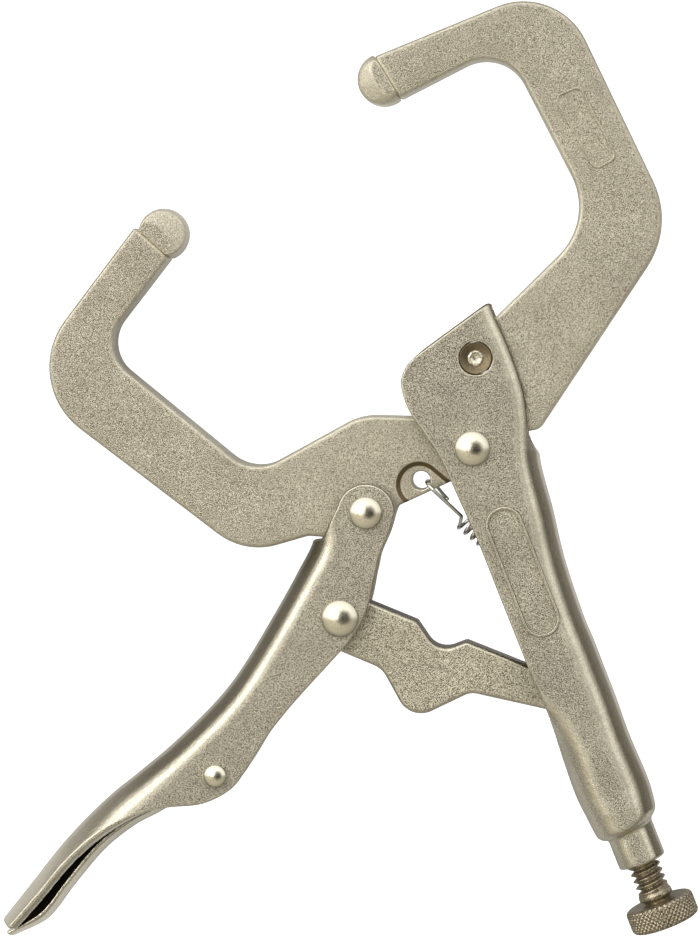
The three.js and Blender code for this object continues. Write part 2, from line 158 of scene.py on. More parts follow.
def in_outline(points, x, y):
    """Signed distance to a closed outline, negative inside."""
    best = np.full(np.broadcast(x, y).shape, np.inf)
    inside = np.zeros(best.shape, bool)
    for i in range(len(points)):
        (ax, ay), (bx, by) = points[i - 1], points[i]
        dx, dy = bx - ax, by - ay
        if dx == 0 and dy == 0:
            continue
        t = np.clip(((x - ax) * dx + (y - ay) * dy) / (dx * dx + dy * dy), 0, 1)
        px, py = x - ax - dx * t, y - ay - dy * t
        best = np.minimum(best, px * px + py * py)
        if ay != by:
            inside ^= ((ay > y) != (by > y)) & (x < ax + (y - ay) * dx / dy)
    return np.where(inside, -1, 1) * np.sqrt(best)


# ---- Solids as distance fields: negative inside, z measured from the middle plane ----

def meet(a, b, radius):
    """Intersection with a rounded edge."""
    u = np.maximum(a + radius, 0)
    v = np.maximum(b + radius, 0)
    return np.minimum(np.maximum(a, b), -radius) + np.sqrt(u * u + v * v)


def join(a, b, radius):
    """Union with a filleted corner."""
    return -meet(-a, -b, radius)


def circle(centre, x, y):
    return np.hypot(x - centre[0], y - centre[1])


def smoothstep(low, high, value):
    t = np.clip((value - low) / (high - low), 0, 1)
    return t * t * (3 - 2 * t)


def skin(field, low, high, step):
    """Vertices and faces of the field's surface in a box, one vertex for each grid cell that it crosses."""
    axes = [np.arange(a, b + step, step) for a, b in zip(low, high)]
    x, y, z = np.ix_(*axes)
    value = np.broadcast_to(field(x, y, z), [len(a) for a in axes])
    inside = value < 0
    core = tuple(slice(0, n - 1) for n in inside.shape)
    corners = [(i, j, k) for i in (0, 1) for j in (0, 1) for k in (0, 1)]
    held = sum(inside[tuple(slice(s.start + o, s.stop + o) for s, o in zip(core, c))].astype(np.int8)
               for c in corners)
    mixed = (held > 0) & (held < 8)
    cells = np.argwhere(mixed)
    index = np.full(mixed.shape, -1, np.int64)
    index[mixed] = np.arange(len(cells))
    total = np.zeros((len(cells), 3))
    count = np.zeros(len(cells))
    for a in corners:
        for axis in range(3):
            if a[axis]:
                continue
            b = np.array(a)
            b[axis] = 1
            va = value[tuple((cells + a).T)]
            vb = value[tuple((cells + b).T)]
            crossed = (va < 0) != (vb < 0)
            t = np.where(crossed, va / np.where(crossed, va - vb, 1), 0)
            place = np.array(a, float) + np.zeros((len(cells), 1))
            place[:, axis] = t
            total += place * crossed[:, None]
            count += crossed
    points = (cells + total / count[:, None]) * step + np.array([a[0] for a in axes])
    faces = []
    for axis in range(3):
        u, v = (axis + 1) % 3, (axis + 2) % 3
        first = inside[tuple(slice(0, n - (i == axis)) for i, n in enumerate(inside.shape))]
        second = inside[tuple(slice(int(i == axis), n) for i, n in enumerate(inside.shape))]
        edges = np.argwhere(first != second)
        fits = (edges[:, u] > 0) & (edges[:, v] > 0)
        fits &= (edges[:, u] < index.shape[u]) & (edges[:, v] < index.shape[v])
        edges = edges[fits]
        around = []
        for du, dv in ((0, 0), (1, 0), (1, 1), (0, 1)):
            c = edges.copy()
            c[:, u] -= du
            c[:, v] -= dv
            around.append(index[tuple(c.T)])
        quads = np.stack(around, 1)
        back = ~first[tuple(edges.T)]
        quads[back] = quads[back][:, ::-1]
        faces.append(quads)
    return settle(field, points, step), np.concatenate(faces)


def settle(field, points, step):
    """Moves the vertices onto the field's surface, by no more than a third of a cell."""
    moved = points.copy()
    nudge = 0.05 * step
    for _ in range(2):
        x, y, z = moved.T
        f = field(x, y, z)
        ahead = [field(x + nudge, y, z), field(x, y + nudge, z), field(x, y, z + nudge)]
        slope = (np.stack(ahead, 1) - f[:, None]) / nudge
        shift = -slope * (f / np.maximum((slope ** 2).sum(1), 0.2))[:, None]
        size = np.sqrt((shift ** 2).sum(1))
        moved += shift * np.minimum(1, 0.33 * step / np.maximum(size, 1e-9))[:, None]
    return moved


# ---- Meshes ----

def mesh_piece(name, parts, material, body, slot, *nodes, accent=None):
    """One object of parts (points, faces), in the row frame, riding on a body and standing for CAD nodes.

    accent is (second material, test of face centres in millimetres from the middle plane)."""
    mesh = bpy.data.meshes.new(name)
    points = np.concatenate([np.asarray(p, float) for p, _ in parts])
    start = 0
    loops = []
    sizes = []
    for p, faces in parts:
        for face in faces if isinstance(faces, list) else [faces]:
            face = np.asarray(face, np.int64)
            loops.append((face + start).ravel())
            sizes.append(np.full(len(face), face.shape[1]))
        start += len(p)
    loops = np.concatenate(loops)
    sizes = np.concatenate(sizes)
    mesh.vertices.add(len(points))
    mesh.vertices.foreach_set("co", ((points + (0, 0, MID)) * MM).astype(np.float32).ravel())
    mesh.loops.add(len(loops))
    mesh.loops.foreach_set("vertex_index", loops.astype(np.int32))
    mesh.polygons.add(len(sizes))
    mesh.polygons.foreach_set("loop_start", (np.cumsum(sizes) - sizes).astype(np.int32))
    mesh.update(calc_edges=True)
    mesh.validate()
    mesh.shade_smooth()
    mesh.materials.append(material)
    if accent:
        mesh.materials.append(accent[0])
        centres = np.empty(len(mesh.polygons) * 3)
        mesh.polygons.foreach_get("center", centres)
        x, y, z = (centres.reshape(-1, 3) / MM - (0, 0, MID)).T
        mesh.polygons.foreach_set("material_index", accent[1](x, y, z).astype(np.int32))
    piece = bpy.data.objects.new(name, mesh)
    bpy.context.scene.collection.objects.link(piece)
    if nodes:
        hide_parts(*nodes)
    if body:
        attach(piece, body)
    return piece


def ring_quads(rings, sides):
    """Quads between rings of points."""
    i, j = np.meshgrid(np.arange(rings - 1), np.arange(sides), indexing="ij")
    k = (j + 1) % sides
    corners = [i * sides + j, i * sides + k, (i + 1) * sides + k, (i + 1) * sides + j]
    return np.stack(corners, -1).reshape(-1, 4)


def end_caps(rings, sides):
    """Fans that close the first and the last ring, about the two points that come after all the rings."""
    ring = np.arange(sides)
    after = (ring + 1) % sides
    base = (rings - 1) * sides
    middle = np.full(sides, rings * sides)
    return np.concatenate([np.stack([middle, after, ring], 1),
                           np.stack([middle + 1, base + ring, base + after], 1)])


def turned(profile, axis_at, direction=None, sides=64, shape=None):
    """A turned solid of profile (radius, distance) along an axis: up, or a direction in the tool's plane."""
    profile = np.array(profile, float)
    angle = np.arange(sides) * 2 * math.pi / sides
    radius = profile[:, :1] + np.zeros(sides)
    run = profile[:, 1:] + np.zeros(sides)
    if shape is not None:
        radius, run = shape(radius, run, angle[None, :])
    u, v = radius * np.cos(angle), radius * np.sin(angle)
    if direction is None:
        points = np.stack([axis_at[0] + u, axis_at[1] + v, run], -1)
    else:
        dx, dy = direction
        points = np.stack([axis_at[0] + dx * run + dy * u, axis_at[1] + dy * run - dx * u, -v], -1)
    ends = points[0].mean(0), points[-1].mean(0)
    points = np.vstack([points.reshape(-1, 3), *ends])
    return points, [ring_quads(len(profile), sides), end_caps(len(profile), sides)]


def tube(path, radius, sides=10):
    """A round wire along a path of points, with closed ends."""
    path = np.array(path, float)
    tangent = np.gradient(path, axis=0)
    tangent /= np.linalg.norm(tangent, axis=1)[:, None]
    normal = np.cross(tangent[0], (0.3, 0.5, 0.8))
    rings = []
    angle = np.arange(sides) * 2 * math.pi / sides
    for p, t in zip(path, tangent):
        normal = normal - t * (normal @ t)
        normal /= np.linalg.norm(normal)
        other = np.cross(t, normal)
        rings.append(p + radius * (np.cos(angle)[:, None] * normal + np.sin(angle)[:, None] * other))
    start = path[:1] - tangent[:1] * radius * 0.5
    end = path[-1:] + tangent[-1:] * radius * 0.5
    return np.concatenate(rings + [start, end]), [ring_quads(len(path), sides), end_caps(len(path), sides)]


# ---- Folded sheet ----

def ellipse(u, v, w):
    u = np.maximum(u, 0)
    v = np.maximum(v, 0)
    return np.sqrt(u * u + v * v + w * w) - 1


SEAM_HALF = 0.28  # half the gap between edges that meet
CURL_TURN = math.radians(88)
WELL_INSIDE = -9.0  # a field value where a cut does not reach


def folded(stations, wall, rim_radius=0.3):
    """Field of a folded sheet: the sheet, its outer form and its hollow.

    Each station is (spine point, edge point, half height, bend, curl): the spine is a quarter ellipse of that
    height and depth, and curl from 0 to 1 turns the wall's edge in until both edges meet."""
    spine = smooth_path([s[0] for s in stations])
    edge = smooth_path([s[1] for s in stations])
    spine_side = np.sign(near_path(spine, *edge[len(edge) // 2])[0])
    edge_side = np.sign(near_path(edge, *spine[len(spine) // 2])[0])
    at = np.concatenate([[0], np.cumsum(np.hypot(*np.diff(spine, axis=0).T))])[::SPAN_STEPS]
    numbers = [np.array([s[i] for s in stations], float) for i in (2, 3, 4)]

    def field(x, y, z):
        d, run = near_path(spine, x, y)
        d = d * spine_side
        de = near_path(edge, x, y)[0] * edge_side
        width = np.maximum(d + de, 0.5)
        half, bend, curl = [np.interp(run, at, n) for n in numbers]
        height = np.abs(z)
        rise = half / np.sin(np.arccos(np.clip(1 - width / bend, 0, 1)))
        sine, cosine = np.sin(curl * CURL_TURN), np.cos(curl * CURL_TURN)
        thin = bend - wall
        outer = ellipse((bend - d) / bend, sine - de / bend, height / rise) * np.minimum(bend, rise)
        inner = ellipse((bend - d) / thin, (bend * sine - de) / thin, height / (rise - wall)) * thin
        short = np.maximum(bend - width, 0)
        rim = ((d - np.maximum(bend, width)) * half + height * short) / np.hypot(half, short)
        curled = (bend * sine - de) * cosine - (height - SEAM_HALF) * sine
        rim = np.where(curl > 0.001, curled, rim)
        rim = np.where(d > 0.5 * width, rim, WELL_INSIDE)
        return meet(np.maximum(outer, -inner), rim, rim_radius), outer, inner

    return field


def half_plane(a, b, x, y):
    """Signed distance to the line from a to b, positive on its left."""
    dx, dy = b[0] - a[0], b[1] - a[1]
    return (dx * (y - a[1]) - dy * (x - a[0])) / math.hypot(dx, dy)


def screw_frame(x, y):
    """Distance along the screw's axis from the link's end, and to its left in the tool's plane."""
    u, v = x - LINK_END[0], y - LINK_END[1]
    return u * SCREW_DIR[0] + v * SCREW_DIR[1], u * SCREW_DIR[1] - v * SCREW_DIR[0]


WALL_OUT = 5.7
SHEET_WALL = 1.5
SHEET_EDGE = 0.3
HOLE_EDGE = 0.12
HEAD_TOP = 7.2
SLOT_HALF = 4.0

# Along the screw's axis, from the link's end
TUBE_START = 11.0
BARREL_START = 14
SHOULDER = 23.4
BARREL_END = 29.2

SHOULDER_SLANT = 0.12
SHOULDER_ROUND = 1.7
BARREL_R = 3.95
BORE_R = 2.8
TOP_EDGE = ((-9.3, 15.1), (4.0, 24.85))
SLOT_END = (2.0, 0.6)
SLOT_END_RISE = 0.4
SLOT_END_CURVE = 0.85

fixed_handle_sheet = folded([
    ((4.3, 24.9), (-9.3, 15.1), WALL_OUT, 5.2, 0),
    ((5.6, 21.5), (-10.9, 13.0), WALL_OUT, 5.2, 0),
    ((7.15, 18.1), (-11.6, 10.3), WALL_OUT, 5.2, 0),
    ((8.95, 13.4), (-10.4, 6.3), WALL_OUT, 5.2, 0),
    ((10.3, 8.7), (-7.8, 2.4), WALL_OUT, 5.2, 0),
    ((10.75, 4.2), (-5.1, -1.8), WALL_OUT, 5.1, 0),
    ((11.0, -1.9), (-2.6, -7.3), WALL_OUT, 4.8, 0),
    ((13.1, -10.0), (0.9, -15.1), WALL_OUT, 5.2, 0),
    ((15.1, -18.3), (4.1, -23.1), WALL_OUT, 5.6, 0),
    ((18.0, -27.0), (7.3, -31.1), WALL_OUT, 5.8, 0),
    ((19.9, -31.6), (9.0, -35.5), WALL_OUT, 5.8, 0.05),
    ((21.6, -36.0), (10.6, -39.5), WALL_OUT, 5.8, 0.25),
    ((23.4, -40.6), (12.2, -43.9), WALL_OUT, 5.8, 0.6),
    ((25.7, -47.0), (14.4, -50.2), WALL_OUT, 5.9, 1),
    ((28.6, -53.8), (16.8, -56.9), WALL_OUT, 6, 1),
    ((29.75, -57.6), (18.6, -60.6), 5.9, 5.9, 1),
    ((30.2, -60.3), (20.3, -63.9), 5.6, 5.4, 1),
], SHEET_WALL)


def fixed_handle_field(x, y, z):
    """An open channel at the jaws, a closed tube with a seam below it, and a round barrel for the screw."""
    sheet, outer, inner = fixed_handle_sheet(x, y, z)
    s, q = screw_frame(x, y)
    r = np.hypot(q, z)
    shoulder = s - SHOULDER - SHOULDER_SLANT * q
    barrel = meet(meet(r - BARREL_R, s - BARREL_END, 0.4), BARREL_START - s, SHEET_EDGE)
    form = join(meet(outer, shoulder, SHOULDER_ROUND), barrel, 0.5)
    hollow = np.minimum(meet(inner, shoulder + 1.4, 1.0), r - BORE_R)
    tube = meet(form, -hollow, SHEET_EDGE)
    seam = np.maximum(np.abs(z) - SEAM_HALF, np.where(q > 0, WELL_INSIDE, -WELL_INSIDE))
    tube = np.maximum(tube, -seam)
    whole = np.where(s > TUBE_START, tube, sheet)
    whole = meet(whole, half_plane(*TOP_EDGE, x, y), 0.6)
    past_slot = SLOT_END_CURVE * np.maximum(SLOT_END_RISE * (x - SLOT_END[0]) - y + SLOT_END[1], 0)
    whole = meet(whole, SLOT_HALF - np.hypot(z, past_slot), 0.5)
    for centre, radius in ((MAIN_PIVOT, MAIN_HOLE), (JAW_PIN, PIN_HOLE)):
        whole = meet(whole, radius - circle(centre, x, y), HOLE_EDGE)
    return whole


lower_handle_sheet = folded([
    ((-27.6, -3.0), (-9.0, -6.0), WALL_OUT, 4, 0),
    ((-26.6, -11.5), (-14.4, -15.8), WALL_OUT, 4.4, 0),
    ((-26.2, -15.3), (-15.7, -20.1), WALL_OUT, 5, 0),
    ((-28.7, -20.4), (-17.0, -26.0), WALL_OUT, 5, 0),
    ((-31.5, -25.5), (-19.5, -30.8), WALL_OUT, 5, 0),
    ((-34.4, -30.5), (-23.0, -34.9), WALL_OUT, 5, 0),
    ((-37.3, -35.3), (-27.0, -39.3), WALL_OUT, 5, 0),
    ((-40.0, -39.2), (-30.3, -43.1), WALL_OUT, 5, 0),
    ((-43.2, -42.9), (-33.6, -47.4), WALL_OUT, 5, 0),
    ((-46.5, -46.2), (-36.5, -52.1), WALL_OUT, 5, 0),
    ((-50.0, -49.5), (-39.4, -55.9), WALL_OUT, 5.2, 0),
    ((-53.2, -52.2), (-44.1, -58.3), WALL_OUT, 5.6, 0),
    ((-56.5, -54.9), (-50.0, -59.0), WALL_OUT, 6.2, 0),
    ((-59.5, -57.3), (-55.0, -60.3), WALL_OUT, 7, 0),
    ((-63.7, -61.3), (-61.2, -63.5), WALL_OUT, 8, 0),
    ((-68.2, -66.2), (-66.4, -67.9), WALL_OUT, 8.4, 0),
    ((-73.0, -72.3), (-71.2, -73.6), WALL_OUT, 8.4, 0),
    ((-77.9, -78.5), (-76.0, -79.0), WALL_OUT, 8.4, 0),
], SHEET_WALL)

LOWER_HANDLE_OUTLINE = arc(HANDLE_PIVOT, 4.7, 0, 168) + [
    (-24.2, -14.2), (-27.0, -15.4), (-90, -15.4), (-90, -90), (0, -90), (0, -17), (-14.2, -16.2)]
LOWER_SLOT_END = -15.2
TAIL_END = ((-75.8, -79.3), (-78.1, -78.3))
# The far wall's flange fills the gap at the tail with a sheet whose inside carries painted shade
FAR_FLANGE_OUTLINE = [
    (-52.5, -60.0), (-56.5, -62.2), (-61.4, -66.2), (-66.5, -72.3), (-69.2, -76.0), (-71.4, -78.2),
    (-76.0, -80.6), (-76.0, -78.0), (-71.0, -71.5), (-66.0, -65.5), (-60.0, -60.5), (-54.0, -57.5)]


def lower_handle_field(x, y, z):
    """The folded handle; at its tail the far wall reaches across to the release lever's strip."""
    sheet = lower_handle_sheet(x, y, z)[0]
    half_wall = SHEET_WALL / 2
    far_wall = np.abs(z + WALL_OUT - half_wall) - half_wall
    flange = meet(in_outline(FAR_FLANGE_OUTLINE, x, y), far_wall, SHEET_EDGE)
    sheet = np.minimum(sheet, flange)
    sheet = meet(sheet, in_outline(LOWER_HANDLE_OUTLINE, x, y), SHEET_EDGE)
    sheet = meet(sheet, half_plane(*TAIL_END, x, y), SHEET_EDGE)
    slot = np.maximum(np.abs(z) - SLOT_HALF, LOWER_SLOT_END - y)
    sheet = meet(sheet, -slot, SHEET_EDGE)
    holes = ((HANDLE_PIVOT, HANDLE_HOLE), (TOGGLE_PIVOT, TOGGLE_HOLE), (LEVER_PIVOT, LEVER_HOLE))
    for centre, radius in holes:
        sheet = meet(sheet, radius - circle(centre, x, y), HOLE_EDGE)
    return sheet


def tail_inside(x, y, z):
    """The shadowed inner faces of the tail, without the far wall's own edge, which get painted shade."""
    out = in_outline(FAR_FLANGE_OUTLINE, x, y)
    on_far_wall = (out < -0.2) & (z > 0.1 - WALL_OUT)
    beside_it = (out < 2.5) & (z > 1.1 - WALL_OUT)
    hollow = lower_handle_sheet(x, y, z)[2] < 0.5
    return (on_far_wall | beside_it) & (z < WALL_OUT - 1.0) & hollow


LEVER_HALF = 3.6
LEVER_WALL = 1.15
LEVER_EDGE = 0.25
LEVER_NOSE = ((-37.6, -45.4), (-35.6, -46.6))
LEVER_TAIL = ((-76.2, -81.3), (-76.8, -80.4))

release_lever_sheet = folded([
    ((-35.6, -46.6), (-37.6, -45.4), LEVER_HALF, 1.6, 0),
    ((-38.0, -49.8), (-41.2, -47.2), LEVER_HALF, 1.6, 0),
    ((-39.8, -52.6), (-44.2, -49.6), LEVER_HALF, 1.6, 0),
    ((-41.6, -55.2), (-46.6, -52.2), LEVER_HALF, 1.6, 0),
    ((-44.6, -57.0), (-48.6, -54.4), LEVER_HALF, 1.6, 0),
    ((-49.0, -58.9), (-51.2, -57.0), LEVER_HALF, 1.6, 0),
    ((-52.0, -60.6), (-53.5, -59.0), LEVER_HALF, 1.7, 0),
    ((-56.0, -62.8), (-57.0, -61.5), LEVER_HALF, 2.2, 0),
    ((-60.9, -66.8), (-61.9, -65.6), LEVER_HALF, 2.2, 0),
    ((-66.0, -72.9), (-67.0, -71.8), LEVER_HALF, 2.2, 0),
    ((-68.7, -76.6), (-69.6, -75.3), LEVER_HALF, 2.2, 0),
    ((-71.1, -78.9), (-71.8, -77.4), LEVER_HALF, 2.2, 0),
    ((-76.2, -81.3), (-76.8, -80.4), LEVER_HALF, 2.2, 0),
], LEVER_WALL, LEVER_EDGE)


def release_lever_field(x, y, z):
    sheet = release_lever_sheet(x, y, z)[0]
    for line in (LEVER_NOSE, LEVER_TAIL):
        sheet = meet(sheet, half_plane(*line, x, y), LEVER_EDGE)
    return meet(sheet, LEVER_HOLE - circle(LEVER_PIVOT, x, y), HOLE_EDGE)


# ---- Forged jaws ----

JAW_HALF = 3.8
JAW_EDGE = 0.65
CROWN = 0.30
CROWN_WIDTH = 3.2
DRAFT = 0.02
TIP_R = 4.3
TIP_CHORD = 3.9
TIP_REACH = 9
FORGED_HOLE_EDGE = 0.15
FIXED_TIP = (-14.6, 59.9)
MOVING_TIP = (-50.8, 34.8)
FIXED_GROOVE = ((-11.8, 56.7), (-16.1, 63.7))
MOVING_GROOVE = ((-55.4, 36.0), (-49.6, 30.9))

FIXED_JAW_OUTLINE = rounded([
    (-18.0, 63.0), (-16.0, 63.6), (13.6, 75.5, 11.3), (32.7, 36.0, 14), (11.0, 3.0, 2), (8.6, 2.6),
    (3.8, 7.2, 2), (0.2, 9.2, 2), (-3.8, 11.2, 1.5), (-6.4, 15.2, 2), (-2.0, 19.9, 2), (3.4, 21.1, 2),
    (19.6, 37.0, 11), (5.0, 65.2, 6.9), (-11.9, 56.6), (-13.9, 55.6)])
MOVING_JAW_OUTLINE = rounded([
    (-54.5, 37.4), (-55.5, 35.8), (-74.6, 10.6, 12.7), (-37.3, -17.6, 11), (-26.8, -14.5, 2),
    (-17.2, -15.2, 3), (-13.6, -13.2, 2), (-12.0, -9.5), (-1.5, -4.6), (0, 0), (-4.5, 5.0, 2),
    (-18.2, 5.4, 10), (-35.8, -4.3, 7), (-61.0, 16.2, 5.9), (-49.8, 30.6), (-48.6, 32.2)])


def forged(outline, groove, x, y, z):
    """A forged arm: faces that fall toward rounded edges, a slight draft, and an end at the tip's groove."""
    flat = in_outline(outline, x, y)
    height = np.abs(z) + CROWN * (1 - np.clip(-flat / CROWN_WIDTH, 0, 1)) ** 2
    near_tip = circle(np.mean(groove, 0), x, y) < TIP_REACH
    end = np.where(near_tip, half_plane(*groove, x, y), WELL_INSIDE)
    arm = meet(meet(flat + DRAFT * height, height - JAW_HALF, JAW_EDGE), end, 0.35)
    neck = np.maximum(np.maximum(flat + 0.9, height - JAW_HALF + 0.5), end - 1.2)
    return np.minimum(arm, neck)


def fixed_jaw_field(x, y, z):
    arm = forged(FIXED_JAW_OUTLINE, FIXED_GROOVE, x, y, z)
    return meet(arm, PIN_HOLE - circle(JAW_PIN, x, y), FORGED_HOLE_EDGE)


RECESS_CENTRE = (-8.7, -6.0)
RECESS_R = 3.8
RECESS_RUN = 9
RECESS_DEPTH = 0.8
BOSS_R = 6.3


def recess_outline(x, y):
    """Signed distance to the recess about the spring hole, which runs along the spring."""
    u, v = x - RECESS_CENTRE[0], y - RECESS_CENTRE[1]
    run = np.clip(u * COIL_DIR[0] + v * COIL_DIR[1], 0, RECESS_RUN)
    return np.hypot(u - COIL_DIR[0] * run, v - COIL_DIR[1] * run) - RECESS_R


def moving_jaw_field(x, y, z):
    arm = forged(MOVING_JAW_OUTLINE, MOVING_GROOVE, x, y, z)
    height = np.abs(z)
    boss = meet(circle(MAIN_PIVOT, x, y) - BOSS_R, height - JAW_HALF, 0.8)
    arm = np.minimum(arm, boss)
    slope = (recess_outline(x, y) - height + JAW_HALF) / math.sqrt(2)
    recess = meet(JAW_HALF - RECESS_DEPTH - height, slope, 0.2)
    arm = meet(arm, -recess, 0.15)
    for centre, radius in ((MAIN_PIVOT, MAIN_HOLE), (HANDLE_PIVOT, HANDLE_HOLE)):
        arm = meet(arm, radius - circle(centre, x, y), FORGED_HOLE_EDGE)
    return meet(arm, SPRING_HOLE_R - circle(SPRING_HOLE, x, y), 0.3)


def tip_field(centre, groove, ridge, slope, facet, edge, draft=0.0):
    """A domed jaw tip: a round drum with a flat facet and a sloped face beyond the facet's curved ridge.

    groove is the line where it meets the arm, ridge the facet's depth beyond it, slope in degrees, facet the
    facet's height, and edge the roundness of the drum."""
    middle = np.mean(groove, 0)
    outward = np.array((groove[0][1] - groove[1][1], groove[1][0] - groove[0][0]))
    outward = outward / np.hypot(*outward)
    curve = (TIP_CHORD ** 2 + ridge ** 2) / (2 * ridge)
    pole = middle + outward * (ridge - curve)
    tilt = math.radians(slope)

    def field(x, y, z):
        height = np.abs(z)
        drum = meet(circle(centre, x, y) - TIP_R + draft * height, height - facet - 0.1, edge)
        band = (circle(pole, x, y) - curve) * math.sin(tilt) + (height - facet) * math.cos(tilt)
        dome = meet(drum, np.maximum(height - facet, band), 0.3)
        lens = np.maximum(circle(pole, x, y) - curve, half_plane(*groove, x, y)) + 0.5
        dome = np.maximum(dome, -np.maximum(lens, facet - 0.25 - height))
        return meet(dome, -half_plane(*groove, x, y), 0.4)

    return field


# ---- Toggle link ----

LINK_HALF = 3.0
LINK_EDGE = 0.7
TOGGLE_LINK_OUTLINE = rounded([
    (-24.6, -22.1, 3.5), (-9.0, -28.4, 1), (-5.6, -33.4, 3.5), (-0.95, -31.6, 0.8), (19.3, -39.6, 1.8),
    (20.1, -42.1, 1.4), (16.2, -43.6, 1), (-0.3, -40.0, 3), (-10.1, -44.8, 4), (-14.8, -36.2, 4),
    (-28.1, -30.7, 4)])


def toggle_link_field(x, y, z):
    plate = meet(in_outline(TOGGLE_LINK_OUTLINE, x, y), np.abs(z) - LINK_HALF, LINK_EDGE)
    return meet(plate, TOGGLE_HOLE - circle(TOGGLE_PIVOT, x, y), FORGED_HOLE_EDGE)


# ---- Turned pieces ----

DOME_RISE = 0.34  # of a rivet's head, as a share of its radius
RING_R = 1.16
SOCKET_R = 1.2
SOCKET_SIDE = math.pi / 3


def rivet(centre, shank, head):
    """A rivet with two polished domes, each a cap of a ball."""
    base = HEAD_TOP - DOME_RISE * head
    rise = HEAD_TOP - base
    ball = (head * head + rise * rise) / (2 * rise)
    dome = [(shank, WALL_OUT - 0.3), (head, WALL_OUT - 0.3), (head + 0.04, base - 0.04)]
    for r in np.linspace(head, 0.1, 16):
        dome.append((r, HEAD_TOP - ball + math.sqrt(ball * ball - r * r)))
    upper = np.array(dome)
    lower = upper[::-1] * (1, -1)
    return turned(np.vstack([lower, upper]), centre)


def hexagon(radius, run, angle):
    """Turns the innermost rings of the pin into a hexagonal socket."""
    facet = np.cos(SOCKET_SIDE / 2) / np.cos((angle % SOCKET_SIDE) - SOCKET_SIDE / 2)
    return np.where(radius < SOCKET_R, radius * facet, radius), run


def jaw_pin():
    """A flush pin, dished at both ends down to a raised ring with a hexagonal socket."""
    below_top = [(2.62, 0.35), (2.62, 0.1), (2.55, 0), (2.45, 0.05), (1.9, 0.28), (1.35, 0.42), (1.24, 0.43),
                 (1.18, 0.3), (1.05, 0.28), (0.95, 0.34), (0.88, 0.46), (0.1, 0.5)]
    upper = np.array([(radius, WALL_OUT - 0.05 - depth) for radius, depth in below_top])
    return turned(np.vstack([upper[::-1] * (1, -1), upper]), JAW_PIN, sides=72, shape=hexagon)


THREAD_PITCH = 1.14
THREAD_R = 2.65
THREAD_DEPTH = 0.72
THREAD_START = 4.0
THREAD_END = 34.2


def threaded(radius, run, angle):
    """Cuts the thread into the rings between the screw's tip and its neck."""
    turn = (run / THREAD_PITCH - angle / (2 * math.pi)) % 1
    groove = THREAD_DEPTH * np.clip(1.25 * (1 - 2 * np.abs(turn - 0.5)) - 0.15, 0, 1)
    fade = smoothstep(3.6, 4.6, run) * (1 - smoothstep(THREAD_END - 0.5, THREAD_END, run))
    return radius - np.where(radius > THREAD_R - 0.01, groove * fade, 0), run


def screw_shank():
    profile = [(0.2, 3.4), (1.5, 3.4), (1.9, 3.6)]
    profile += [(THREAD_R, s) for s in np.linspace(THREAD_START, THREAD_END, 330)]
    profile += [(2.5, 34.3), (2.75, 34.5), (2.85, 35.0), (2.8, 35.35), (2.35, 35.6), (2.2, 36.0), (2.2, 36.6)]
    return turned(profile, LINK_END, SCREW_DIR, sides=72, shape=threaded)


KNOB_START = 36.0
KNOB_END = 40.1
KNOB_R = 5.75
KNOB_FACE_R = 4.75
KNURLS = 42
KNURL_RISE = 0.86


def knurled(radius, run, angle):
    """Crossed rows of grooves round the knob's rim."""
    around = angle * KNURLS / (2 * math.pi)
    rows = (run - KNOB_START) / KNURL_RISE
    cut = np.zeros(radius.shape)
    for way in (1, -1):
        turn = (around + way * rows) % 1
        cut = np.maximum(cut, 1 - 3.2 * np.minimum(turn, 1 - turn))
    depth = 0.3 * smoothstep(KNOB_R - 0.55, KNOB_R - 0.1, radius)
    return radius - depth * np.clip(cut, 0, 1), run


def knob():
    profile = [(0.3, KNOB_START + 0.1), (3.0, KNOB_START + 0.05), (4.3, KNOB_START)]
    rim = KNOB_R - KNOB_FACE_R
    profile += [(KNOB_FACE_R + rim * math.sin(a), KNOB_START + 0.05 + 0.8 * (1 - math.cos(a)))
                for a in np.linspace(0.2, math.pi / 2, 8)]
    profile += [(KNOB_R, s) for s in np.linspace(KNOB_START + 0.95, KNOB_END - 0.85, 26)]
    profile += [(KNOB_FACE_R + rim * math.cos(a), KNOB_END - 0.75 + 0.75 * math.sin(a))
                for a in np.linspace(0, math.pi / 2 - 0.2, 8)]
    profile += [(4.3, KNOB_END), (3.2, KNOB_END - 0.1), (0.3, KNOB_END - 0.15)]
    return turned(profile, LINK_END, SCREW_DIR, sides=9 * KNURLS, shape=knurled)


# ---- Spring ----

WIRE_R = 0.30
COIL_R = 1.5
COIL_PITCH = 1.37
COIL_TURNS = 13
COIL_STEPS = 20  # points in one turn
COIL_SHIFT = 0.5


def spring_path():
    """From the hook's cut end, round the hole's edge, along the lead and the coil to the handle's tab."""
    def at(s, offset, z):
        return (*along(COIL_START, COIL_DIR, s, offset), z)

    points = [at(-4.6, 1.0, 0.6), at(-6.0, 1.1, -1.8), at(-7.4, 1.2, -3.7), at(-8.5, 1.2, -3.4),
              at(-9.0, 1.1, -0.5), at(-8.9, 1.0, 2.6), at(-8.1, 0.9, 3.8), at(-6.6, 0.8, 3.9),
              at(-4.2, 0.65, 3.3), at(-1.6, 0.45, 2.3), at(-1.0, 0.3, 1.9)]
    for k in range(2, COIL_TURNS * COIL_STEPS + 1):
        a = 2 * math.pi * k / COIL_STEPS
        run = COIL_PITCH * k / COIL_STEPS - COIL_SHIFT
        points.append(at(run, -COIL_R * math.sin(a), COIL_R * math.cos(a)))
    end = COIL_PITCH * COIL_TURNS - COIL_SHIFT
    points += [at(end + 1.2, 0, 1.3), at(end + 2.4, 0, 0.9)]
    return smooth_path(points, 3)


def bead(outline, z, radius):
    """A thin raised line along a closed outline."""
    path = np.array([(x, y, z) for x, y in np.vstack([outline, outline[:2]])])
    return tube(path, radius, 8)


# ---- Materials ----

